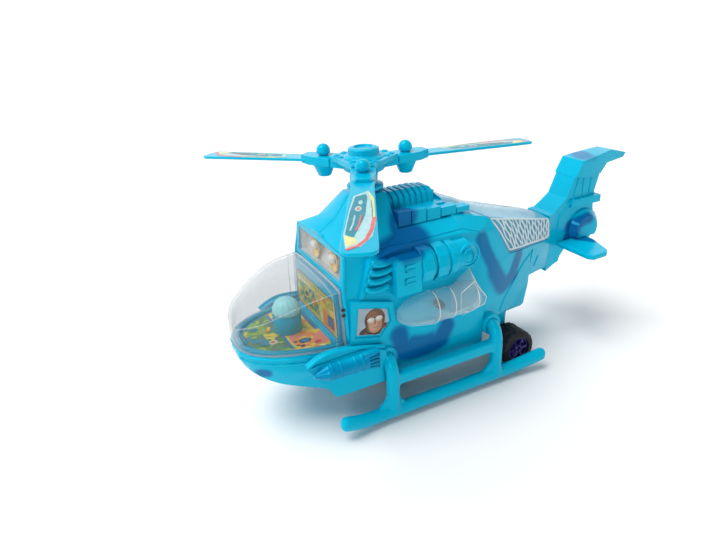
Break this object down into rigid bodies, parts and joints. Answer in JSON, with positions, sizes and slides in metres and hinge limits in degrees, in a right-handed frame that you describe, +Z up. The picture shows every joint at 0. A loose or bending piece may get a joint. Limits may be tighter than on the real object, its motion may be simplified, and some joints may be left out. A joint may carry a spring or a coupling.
{
  "type": "toy helicopter",
  "caption": "Battery toy helicopter with a spinning rotor, clear canopy and rear cover, skids, swivelling drive wheels underneath and a pair of rear wheels.",
  "frame": {"origin": "on the floor under the centre of the overall box; the rotor shaft stands 54 mm forward of it on the centre plane", "axes": "+X from nose to tail, +Y to the starboard side, +Z up"},
  "size_m": [0.2678, 0.1946, 0.1402],
  "materials": {
    "body_cyan": "satin-gloss moulded plastic with soft darker blue sprayed patches",
    "clear_cover": "clear glossy plastic",
    "clear_blue": "pale blue translucent plastic",
    "silver_reflector": "vacuum-metallised plastic",
    "steel": "plain steel",
    "brass": "plain brass",
    "nylon": "natural nylon",
    "charcoal_plastic": "matt dark plastic",
    "black_tyre": "matt black rubber",
    "black_plastic": "matt black plastic",
    "indigo_hub": "metallic indigo plastic",
    "lamp_lens": "clear lamp lens",
    "board_green": "solder-mask green",
    "cell_wrap": "plain grey sleeve"
  },
  "bodies": {
    "airframe": {"battery_door": "body_cyan", "battery_tray": "charcoal_plastic", "beacon_dome": "clear_blue", "canopy": "clear_cover", "cell_1": "cell_wrap", "cell_2": "cell_wrap", "cell_3": "cell_wrap", "circuit_board": "board_green", "cockpit_tub": "body_cyan", "contact_left": "steel", "contact_right": "steel", "door_screw": "steel", "engine_cowl": "body_cyan", "gearbox_frame": "charcoal_plastic", "headlamp_left": "lamp_lens", "headlamp_right": "lamp_lens", "lamp_reflector": "silver_reflector", "lamp_window": "clear_cover", "missile_lamp_left": "lamp_lens", "missile_lamp_right": "lamp_lens", "missile_left": "clear_cover", "missile_right": "clear_cover", "rotor_motor": "steel", "shell_left": "body_cyan", "shell_right": "body_cyan", "shell_screw_1": "steel", "shell_screw_2": "steel", "shell_screw_3": "steel", "shell_screw_4": "steel", "skid_left": "body_cyan", "skid_right": "body_cyan", "speaker": "black_plastic", "stabiliser_left": "body_cyan", "stabiliser_right": "body_cyan", "switch_body": "charcoal_plastic", "tail_cover": "clear_cover", "tail_fin": "body_cyan"},
    "main_rotor": {"rotor_hub": "body_cyan", "blade_a": "body_cyan", "blade_b": "body_cyan", "blade_c": "body_cyan", "rotor_shaft": "steel", "rotor_gear": "nylon"},
    "motor_pinion_spindle": {"motor_pinion": "brass"},
    "drive_unit": {"drive_turret": "charcoal_plastic", "drive_gearcase": "charcoal_plastic"},
    "drive_wheels": {"drive_axle": "steel", "drive_wheel_left": "black_tyre", "drive_wheel_right": "black_tyre"},
    "rear_wheels": {"rear_axle": "steel", "tyre_left": "black_tyre", "tyre_right": "black_tyre", "wheel_hub_left": "indigo_hub", "wheel_hub_right": "indigo_hub"},
    "switch_slider": {"power_switch": "charcoal_plastic"}
  },
  "joints": [
    {"name": "main_rotor_spin", "type": "hinge", "parent": "airframe", "child": "main_rotor", "pos_m": [-0.054, 0, 0.1], "axis": [0, 0, 1], "continuous": true},
    {"name": "motor_pinion_spin", "type": "hinge", "parent": "airframe", "child": "motor_pinion_spindle", "pos_m": [-0.038, 0, 0.065], "axis": [0, 0, 1], "continuous": true},
    {"name": "drive_unit_swivel", "type": "hinge", "parent": "airframe", "child": "drive_unit", "pos_m": [-0.044, 0, 0.03], "axis": [0, 0, 1], "continuous": true},
    {"name": "drive_wheels_roll", "type": "hinge", "parent": "drive_unit", "child": "drive_wheels", "pos_m": [-0.044, 0, 0.0114], "axis": [0, 1, 0], "continuous": true},
    {"name": "rear_wheels_roll", "type": "hinge", "parent": "airframe", "child": "rear_wheels", "pos_m": [0.027, 0, 0.0114], "axis": [0, 1, 0], "continuous": true},
    {"name": "power_switch_slide", "type": "slide", "parent": "airframe", "child": "switch_slider", "axis": [0, 1, 0], "range_m": [0, 0.0068]}
  ],
  "couplings": [
    {"joint": "motor_pinion_spin", "follows": "main_rotor_spin", "ratio": -3}
  ]
}
